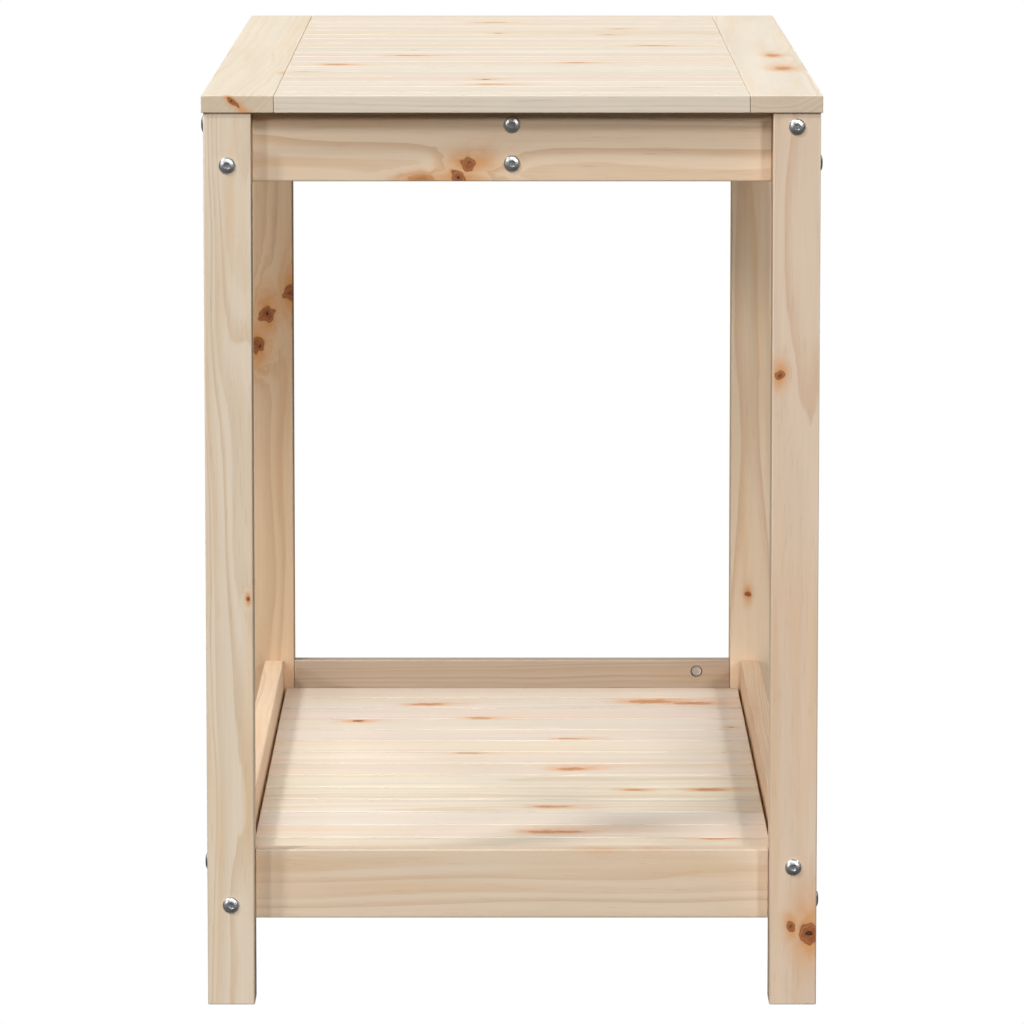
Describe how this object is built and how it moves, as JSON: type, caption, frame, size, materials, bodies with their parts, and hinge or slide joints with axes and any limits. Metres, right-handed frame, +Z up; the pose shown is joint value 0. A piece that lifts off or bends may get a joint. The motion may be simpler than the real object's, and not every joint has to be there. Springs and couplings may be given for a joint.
{
  "type": "potting bench",
  "caption": "Waist-high potting bench in unfinished softwood, with a slatted worktop and a slatted shelf let in between its lower rails, bolted together at four square posts.",
  "frame": {"origin": "on the floor, at the centre of the footprint", "axes": "+Z up, X across the short side, Y along the length, front end at -Y"},
  "size_m": [0.5046, 1.08, 0.747],
  "materials": {
    "pine_frame": "planed, unfinished pine, matt",
    "pine_top": "planed, unfinished pine, matt",
    "pine_shelf": "planed, unfinished pine, matt",
    "zinc": "bright zinc plate"
  },
  "bodies": {
    "root": {"bolt_beam_back_high": "zinc", "bolt_beam_back_low": "zinc", "bolt_beam_front_high": "zinc", "bolt_beam_front_low": "zinc", "bolt_lower_back_left_into_end_rail": "zinc", "bolt_lower_back_left_into_side_rail": "zinc", "bolt_lower_back_right_into_end_rail": "zinc", "bolt_lower_back_right_into_side_rail": "zinc", "bolt_lower_front_left_into_end_rail": "zinc", "bolt_lower_front_left_into_side_rail": "zinc", "bolt_lower_front_right_into_end_rail": "zinc", "bolt_lower_front_right_into_side_rail": "zinc", "bolt_upper_back_left_into_end_rail": "zinc", "bolt_upper_back_left_into_side_rail": "zinc", "bolt_upper_back_right_into_end_rail": "zinc", "bolt_upper_back_right_into_side_rail": "zinc", "bolt_upper_front_left_into_end_rail": "zinc", "bolt_upper_front_left_into_side_rail": "zinc", "bolt_upper_front_right_into_end_rail": "zinc", "bolt_upper_front_right_into_side_rail": "zinc", "centre_beam": "pine_frame", "cleat_screw_back_left": "zinc", "cleat_screw_back_right": "zinc", "cleat_screw_front_left": "zinc", "cleat_screw_front_right": "zinc", "leg_back_left": "pine_frame", "leg_back_right": "pine_frame", "leg_front_left": "pine_frame", "leg_front_right": "pine_frame", "lower_end_rail_back": "pine_frame", "lower_end_rail_front": "pine_frame", "lower_side_rail_left": "pine_frame", "lower_side_rail_right": "pine_frame", "shelf_panel": "pine_shelf", "top_batten_left": "pine_frame", "top_batten_right": "pine_frame", "top_edge_board_left": "pine_top", "top_edge_board_right": "pine_top", "top_end_strip_back": "pine_top", "top_end_strip_front": "pine_top", "top_slat_01": "pine_top", "top_slat_02": "pine_top", "top_slat_03": "pine_top", "top_slat_04": "pine_top", "top_slat_05": "pine_top", "top_slat_06": "pine_top", "top_slat_07": "pine_top", "top_slat_08": "pine_top", "top_slat_09": "pine_top", "top_slat_10": "pine_top", "top_slat_11": "pine_top", "top_slat_12": "pine_top", "top_slat_13": "pine_top", "top_slat_14": "pine_top", "top_slat_15": "pine_top", "top_slat_16": "pine_top", "upper_end_rail_back": "pine_frame", "upper_end_rail_front": "pine_frame", "upper_side_rail_left": "pine_frame", "upper_side_rail_right": "pine_frame"}
  },
  "joints": []
}
